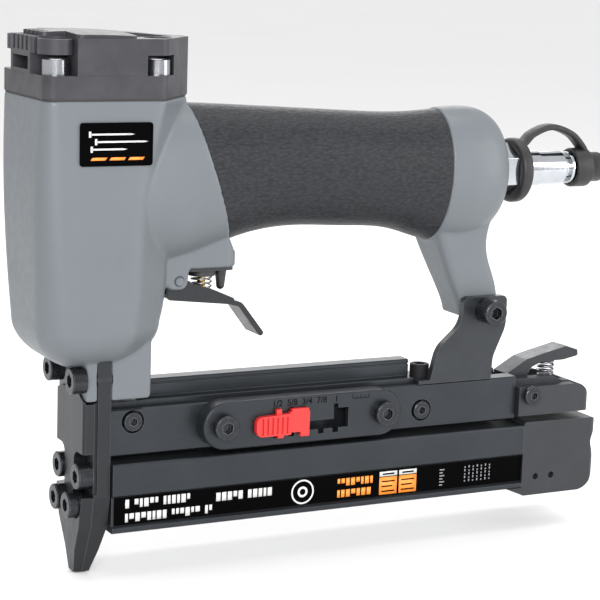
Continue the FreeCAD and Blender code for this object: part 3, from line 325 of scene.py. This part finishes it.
def crisp(name, width_mm):
    """Weld the imported faces, break the sharp edges and even out the shading."""
    obj = welded(name)
    bevel = obj.modifiers.new("edge", "BEVEL")
    bevel.width = width_mm * MM
    bevel.segments = 2
    bevel.limit_method = "ANGLE"
    bevel.angle_limit = math.radians(EDGE_ANGLE)
    bevel.use_clamp_overlap = True
    bevel.harden_normals = False
    even = obj.modifiers.new("even", "WEIGHTED_NORMAL")
    even.keep_sharp = True
    even.weight = 60


def cast(name, voxel_mm, passes):
    """Soften every junction of a cast or moulded body into small fillets."""
    obj = welded(name)
    grid = obj.modifiers.new("grid", "REMESH")
    grid.mode = "VOXEL"
    grid.voxel_size = voxel_mm * MM
    grid.use_smooth_shade = True
    soften = obj.modifiers.new("soften", "SMOOTH")
    soften.factor = 0.5
    soften.iterations = passes


cast("casting", 0.55, 10)
EDGES = {                    # width of the broken edges of each node, in mm
    "cap": 0.35, "grip": 0.3, "badge": 0.15, "valve_plate": 0.2, "valve_collar": 0.15,
    "valve_stem": 0.1, "trigger": 0.25, "nose_tip": 0.25, "guide_body": 0.25,
    "front_plate": 0.3, "main_rail": 0.2, "top_rail": 0.18, "adjuster_plate": 0.15,
    "length_slider": 0.15, "bracket": 0.3, "rear_housing": 0.5, "slide_channel": 0.18,
    "rear_block": 0.5, "latch": 0.4, "air_plug": 0.15, "inlet_bushing": 0.2,
    "bracket_bolt": 0.12, "foot_screw": 0.12, "cap_screws": 0.1, "nose_screws_upper": 0.12,
    "nose_screws_middle": 0.12, "nose_screws_lower": 0.12, "rail_screws": 0.1,
    "adjuster_screws": 0.12, "latch_screw": 0.1, "pusher": 0.2, "piston": 0.1,
    "trigger_pin": 0.1,
}
for node_name, width in EDGES.items():
    crisp(node_name, width)


# ---------------------------------------------------------------- mesh pieces
def piece(name, mesh, material, body):
    obj = bpy.data.objects.new(name, mesh)
    bpy.context.scene.collection.objects.link(obj)
    mesh.materials.append(material)
    for poly in mesh.polygons:
        poly.use_smooth = True
    if body:
        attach(obj, body)
    return obj


def mesh_from(name, bm):
    mesh = bpy.data.meshes.new(name)
    bmesh.ops.recalc_face_normals(bm, faces=bm.faces)
    bm.to_mesh(mesh)
    bm.free()
    return mesh


def lathe(name, profile, centre, steps=64):
    """Closed profile of (along x, radius) in mm turned about an X axis through the centre."""
    bm = bmesh.new()
    rings = []
    for i in range(steps):
        a = 2 * math.pi * i / steps
        rings.append([bm.verts.new(((centre[0] + x) * MM, (centre[1] + r * math.cos(a)) * MM,
                                    (centre[2] + r * math.sin(a)) * MM)) for x, r in profile])
    count = len(profile)
    for i in range(steps):
        here, there = rings[i], rings[(i + 1) % steps]
        for k in range(count):
            n = (k + 1) % count
            bm.faces.new((here[k], here[n], there[n], there[k]))
    bmesh.ops.remove_doubles(bm, verts=bm.verts, dist=1e-7)
    return mesh_from(name, bm)


def spring_copy(node, body):
    """A copy of a coil in spring steel, fixed to a body."""
    mesh = NODES[node].data.copy()
    mesh.materials.clear()
    obj = piece(node + "_wire", mesh, MATS["spring_steel"], body)
    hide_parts(node)
    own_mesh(obj)


# The latch tilts onto its spring, so the far edge of the coil gives way the most; this copy keeps the modelled
# shape.
spring_copy("latch_spring",
            "tool_body")

spring_copy("head_spring",
            "tool_body")

spring_copy("stem_spring",
            "tool_body")

spring_copy("pusher_spring",
            "magazine_slide")


# ---------------------------------------------------------------- printed marks
def rect(bm, x, z, w, h, y, skew=0.0):
    """Upright printed bar on a face that looks along -Y; x, z is its lower left corner in mm."""
    corners = [(x, z), (x + w, z), (x + w + skew, z + h), (x + skew, z + h)]
    return bm.faces.new([bm.verts.new((cx * MM, y * MM, cz * MM)) for cx, cz in corners])


def disc_band(bm, x, z, outer, inner, y, steps=48):
    """Printed ring on a face that looks along -Y; x, z is its centre in mm."""
    verts = []
    for i in range(steps):
        a = 2 * math.pi * i / steps
        verts.append([bm.verts.new(((x + r * math.cos(a)) * MM, y * MM, (z + r * math.sin(a)) * MM))
                      for r in (outer, inner)])
    for i in range(steps):
        a, b = verts[i], verts[(i + 1) % steps]
        bm.faces.new((a[0], b[0], b[1], a[1]))


def blocks(bm, x, z, height, words, y):
    """A line of abstract printed blocks, grouped into word-like runs."""
    for count in words:
        for _ in range(count):
            width = rng.choice((1.0, 1.35, 1.6))
            cut = rng.choice((0.0, 0.0, 0.35))
            rect(bm, x, z + cut * height, width, height * (1 - cut), y)
            x += width + 0.5
        x += 1.4


def print_layer(name, bm, material, body):
    mesh = mesh_from(name, bm)
    flat = piece(name, mesh, material, body)
    thick = flat.modifiers.new("ink", "SOLIDIFY")
    thick.thickness = 0.03 * MM
    thick.offset = 0.0
    return flat


label_low, label_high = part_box("slide_labels")
LX, LZ = label_low.x / MM, label_low.z / MM
LABEL_H = (label_high.z - label_low.z) / MM
LINE_H = 2.9                 # height of a white printed line
ORANGE_H = 2.6               # height of an orange printed line
MARGIN_X = 3.8               # where the first two lines start
TITLE_X = 36.2               # where the third text starts
ORANGE_X = 81.8
SIGN_X = 68.4                # centre of the round sign
BOX_XS = (98.2, 106.0)       # left edges of the small two-box table
TABLE_W = 7.0                # width of one of its boxes
SHORT_COLUMN_X = 122.4       # fine print
LONG_COLUMN_X = 132.6
LAYER_MM = 0.03              # dark marks stand this far over the boxes under them
for side, suffix in ((-1, "near"), (1, "far")):
    face_y = (label_low.y if side < 0 else label_high.y) / MM + side * 0.02
    over_y = face_y + side * LAYER_MM
    white = bmesh.new()
    blocks(white, LX + MARGIN_X, LZ + 5.5, LINE_H, (1, 5, 6), face_y)
    blocks(white, LX + MARGIN_X, LZ + 0.8, LINE_H, (8, 6, 2), face_y)
    blocks(white, LX + TITLE_X, LZ + 4.6, LINE_H, (5, 5), face_y)
    disc_band(white, LX + SIGN_X, LZ + LABEL_H / 2, 4.3, 3.7, face_y)
    disc_band(white, LX + SIGN_X, LZ + LABEL_H / 2, 1.9, 1.1, face_y)
    for box_x in BOX_XS:
        rect(white, LX + box_x, LZ + LABEL_H - 2.2, TABLE_W, 1.7, face_y)
    print_layer("label_print_white_" + suffix, white, PRINT_WHITE, "magazine_slide")
    orange = bmesh.new()
    blocks(orange, LX + ORANGE_X, LZ + 5.2, ORANGE_H, (8,), face_y)
    blocks(orange, LX + ORANGE_X, LZ + 1.2, ORANGE_H, (7,), face_y)
    for box_x in BOX_XS:
        rect(orange, LX + box_x, LZ + 0.5, TABLE_W, LABEL_H - 3.0, face_y)
    print_layer("label_print_orange_" + suffix, orange, PRINT_ORANGE,
                "magazine_slide")
    dark = bmesh.new()
    for box_x in BOX_XS:
        for row in range(3):
            rect(dark, LX + box_x + 0.9, LZ + 1.4 + 1.75 * row,
                 TABLE_W - 1.8 - 0.9 * (row == 1), 0.5, over_y)
        rect(dark, LX + box_x + 1.2, LZ + LABEL_H - 1.7, TABLE_W - 2.4, 0.6, over_y)
    print_layer("label_print_dark_" + suffix, dark, MATS["label_film"],
                "magazine_slide")
    fine = bmesh.new()
    for i in range(7):
        for row in range(5):
            rect(fine, LX + LONG_COLUMN_X + 1.7 * i, LZ + 1.9 + 1.25 * row,
                 0.5, 0.55 + 0.3 * ((i + row) % 2), face_y)
    for row in range(6):
        rect(fine, LX + SHORT_COLUMN_X, LZ + 1.4 + 1.1 * row,
             1.3 + 0.7 * ((row * 3) % 2), 0.45, face_y)
    print_layer("label_print_fine_" + suffix, fine, PRINT_GREY, "magazine_slide")

badge_low, badge_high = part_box("badge")
BX = (badge_low.x + badge_high.x) / 2 / MM
BZ = (badge_low.z + badge_high.z) / 2 / MM
BADGE_RECESS = 0.2           # the face lies this far inside its border
BY = badge_low.y / MM + BADGE_RECESS - 0.03
mark = bmesh.new()
for row, (offset, length) in enumerate(((-8.6, 13.0), (-6.6, 15.5), (-8.0, 10.0))):
    z = BZ + 3.1 - 2.3 * row
    rect(mark, BX + offset, z - 0.28, length, 0.56, BY)
    rect(mark, BX + offset - 0.55, z - 0.95, 0.75, 1.9, BY)
    end = BX + offset + length
    tip = [(end, z - 0.28), (end + 1.6, z), (end, z + 0.28)]
    mark.faces.new([mark.verts.new((x * MM, BY * MM, tip_z * MM)) for x, tip_z in tip])
print_layer("badge_print_white", mark, PRINT_WHITE, "tool_body")
stripe = bmesh.new()
for i in range(3):
    rect(stripe, BX - 8.6 + 6.2 * i, BZ - 4.9, 4.9, 0.9, BY, 0.7)
print_layer("badge_print_orange", stripe, PRINT_ORANGE, "tool_body")

# length scale: plain numbers over the marks, and a small ruler sign for the unit
plate_low, plate_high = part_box("adjuster_plate")
PLATE_Y = plate_low.y / MM
travel = joint("length_slide")["range_m"][1] / MM
first_mark = (plate_low.x + plate_high.x) / 2 / MM - travel / 2 + 0.55


def number(text, x, z, size, name):
    """One plain number of the scale, cut as a thin mesh on the adjuster plate."""
    curve = bpy.data.curves.new(name, "FONT")
    curve.body = text
    curve.size = size * MM
    curve.align_x = "CENTER"
    curve.extrude = 0.02 * MM
    curve.offset = 0.05 * MM
    holder = bpy.data.objects.new(name + "_tmp", curve)
    bpy.context.scene.collection.objects.link(holder)
    bpy.context.view_layer.update()
    shown = holder.evaluated_get(bpy.context.evaluated_depsgraph_get())
    mesh = bpy.data.meshes.new_from_object(shown)
    bpy.data.objects.remove(holder)
    turn = Matrix.Rotation(math.radians(90), 4, "X")
    mesh.transform(Matrix.Translation(Vector((x * MM, (PLATE_Y - 0.03) * MM, z * MM))) @ turn)
    mesh.materials.clear()
    return piece(name, mesh, PRINT_BLACK, "tool_body")


for i, text in enumerate(("1/2", "5/8", "3/4", "7/8", "1")):
    number(text, first_mark + i * travel / 4, plate_high.z / MM - 2.75, 3.0,
           "scale_number_%d" % i)
ruler = bmesh.new()
RX = first_mark + travel + 6.2
RZ = plate_high.z / MM - 2.3
rect(ruler, RX, RZ, 6.4, 0.22, PLATE_Y - 0.03)
for i in range(5):
    rect(ruler, RX + 1.545 * i, RZ, 0.22, 1.5 if i % 2 == 0 else 0.9, PLATE_Y - 0.03)
print_layer("scale_ruler_sign", ruler, PRINT_BLACK, "tool_body")


# ---------------------------------------------------------------- dust cap, ring and strap
def arc(cx, cr, radius, start, end, steps=5):
    """Points of an arc of a lathe profile, with its angles in degrees."""
    angles = [math.radians(start + (end - start) * i / steps) for i in range(steps + 1)]
    return [(cx + radius * math.cos(a), cr + radius * math.sin(a)) for a in angles]


plug_low, plug_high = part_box("air_plug")
AXIS_Z = (plug_low.z + plug_high.z) / 2 / MM
ring_low, ring_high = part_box("cap_ring")
cup_low, cup_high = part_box("dust_cap")
RING_X = ring_low.x / MM
RING_R = AXIS_Z - 0.4 - ring_low.z / MM
ring_profile = ([(0.0, 6.45)] + arc(1.3, RING_R - 1.3, 1.3, 180, 90)
                + arc(3.1, RING_R - 1.3, 1.3, 90, 0)
                + [(4.4, RING_R - 3.2), (3.9, RING_R - 3.8), (3.9, 6.45)])
ring_mesh = lathe("cap_retainer", ring_profile, (RING_X, 0.0, AXIS_Z - 0.4))
cap_retainer = piece("cap_retainer", ring_mesh, MATS["cap_rubber"], "tool_body")
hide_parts("cap_ring")

CUP_X = cup_low.x / MM
CUP_END = cup_high.x / MM - CUP_X
RIM_END = 7.0                # length of the cup's thick rim
cup_profile = ([(0.1, 5.55)] + arc(0.9, 6.1, 0.9, 180, 90, 4)
               + arc(RIM_END - 0.9, 6.1, 0.9, 90, 0, 4)
               + [(RIM_END, 5.3)] + arc(CUP_END - 1.7, 3.6, 1.7, 90, 0, 5)
               + [(CUP_END, 0.0), (RIM_END - 0.1, 0.0), (RIM_END - 0.1, 4.45)])
cup_mesh = lathe("dust_cup", cup_profile, (CUP_X, 0.0, AXIS_Z))
dust_cup = piece("dust_cup", cup_mesh, MATS["cap_rubber"], "dust_cap")
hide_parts("dust_cap")


AROUND = 20                  # points round the strap's section


def strap_mesh():
    """Moulded strap: an oval section swept along a smooth arch from the ring to the cup."""
    top = max(ring_high.z, cup_high.z) / MM
    line = [Vector(p) for p in (
        (RING_X + 2.6, 0, AXIS_Z + 8.2), (RING_X + 6.0, 0, AXIS_Z + 9.2),
        (RING_X + 9.7, 0, top - 3.7), (RING_X + 17.2, 0, top - 1.4),
        (CUP_X - 0.5, 0, top - 3.9), (CUP_X + 4.6, 0, AXIS_Z + 7.6),
        (CUP_X + 6.1, 0, AXIS_Z + 4.8))]
    path = []
    for i in range(len(line) - 1):
        p0 = line[max(i - 1, 0)]
        p1, p2 = line[i], line[i + 1]
        p3 = line[min(i + 2, len(line) - 1)]
        for k in range(8):
            t = k / 8.0
            path.append(0.5 * ((2 * p1) + (p2 - p0) * t
                               + (2 * p0 - 5 * p1 + 4 * p2 - p3) * t * t
                               + (3 * p1 - p0 - 3 * p2 + p3) * t ** 3))
    path.append(line[-1])
    bm = bmesh.new()
    loops = []
    for i, p in enumerate(path):
        ahead = path[min(i + 1, len(path) - 1)] - path[max(i - 1, 0)]
        ahead.normalize()
        out = Vector((-ahead.z, 0, ahead.x))
        loop = []
        for k in range(AROUND):
            a = 2 * math.pi * k / AROUND
            wide = 2.9 * math.copysign(abs(math.cos(a)) ** 0.5, math.cos(a))
            thick = 1.15 * math.copysign(abs(math.sin(a)) ** 0.7, math.sin(a))
            at = p + Vector((0, wide, 0)) + out * thick
            loop.append(bm.verts.new(at * MM))
        loops.append(loop)
    for a, b in zip(loops, loops[1:]):
        for k in range(AROUND):
            n = (k + 1) % AROUND
            bm.faces.new((a[k], a[n], b[n], b[k]))
    bm.faces.new(loops[0])
    bm.faces.new(list(reversed(loops[-1])))
    return mesh_from("strap", bm)


strap = piece("strap", strap_mesh(), MATS["cap_rubber"], None)
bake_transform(strap)


# ---------------------------------------------------------------- stage, light and camera
FLOOR_REACH = 40.0           # half the floor's side, in metres
FLOOR_GAP = 0.0005
floor_mesh = bpy.data.meshes.new("floor")
floor_z = START_BOUNDS[0][2] - FLOOR_GAP
corners = [(x * FLOOR_REACH, y * FLOOR_REACH, floor_z)
           for x, y in ((-1, -1), (1, -1), (1, 1), (-1, 1))]
floor_mesh.from_pydata(corners, [], [(0, 1, 2, 3)])
floor = bpy.data.objects.new("floor", floor_mesh)
bpy.context.scene.collection.objects.link(floor)
floor_mesh.materials.append(varied("floor_paint", (0.90, 0.90, 0.90), 0.01, 400.0, 0.6, 0.7,
                                   [(5.0, 0.05, 0.05)]))

world = bpy.data.worlds.new("studio")
world.use_nodes = True
bpy.context.scene.world = world
sky = world.node_tree.nodes["Background"]
sky.inputs["Color"].default_value = (1.0, 1.0, 1.0, 1.0)
sky.inputs["Strength"].default_value = 0.92
bpy.context.scene.view_settings.view_transform = "Standard"


def softbox(name, place, target, width, height, watts):
    data = bpy.data.lights.new(name, "AREA")
    data.shape = "RECTANGLE"
    data.size = width
    data.size_y = height
    data.energy = watts
    light = bpy.data.objects.new(name, data)
    light.location = place
    light.rotation_euler = (Vector(target) - Vector(place)).to_track_quat("-Z", "Y").to_euler()
    bpy.context.scene.collection.objects.link(light)


MIDDLE = (0.09, 0.0, 0.09)
softbox("key_light", (-0.45, -1.05, 0.55), MIDDLE, 0.7, 0.5, 13.0)
softbox("side_light", (0.95, -0.70, 0.40), MIDDLE, 0.5, 0.8, 5.0)
softbox("top_light", (0.15, 0.10, 1.05), MIDDLE, 1.0, 0.4, 4.0)
softbox("back_light", (0.35, 0.85, 0.55), MIDDLE, 0.8, 0.5, 3.0)

camera_data = bpy.data.cameras.new("camera")
camera_data.sensor_width = 36.0
camera_data.lens = 117.9
camera_data.clip_start = 0.01
camera_data.clip_end = 50.0
camera = bpy.data.objects.new("camera", camera_data)
azimuth, elevation, roll = (math.radians(a) for a in (-27.31, 10.38, 1.91))
back = Vector((math.sin(azimuth) * math.cos(elevation), -math.cos(azimuth) * math.cos(elevation),
               math.sin(elevation)))
level = Vector((math.cos(azimuth), math.sin(azimuth), 0.0))
above = back.cross(level)
right = math.cos(roll) * level + math.sin(roll) * above
up = math.cos(roll) * above - math.sin(roll) * level
place = Matrix((right, up, back)).transposed().to_4x4()
place.translation = Vector((-0.22356, -0.58348, 0.20616))
camera.matrix_world = place
bpy.context.scene.collection.objects.link(camera)
bpy.context.scene.camera = camera
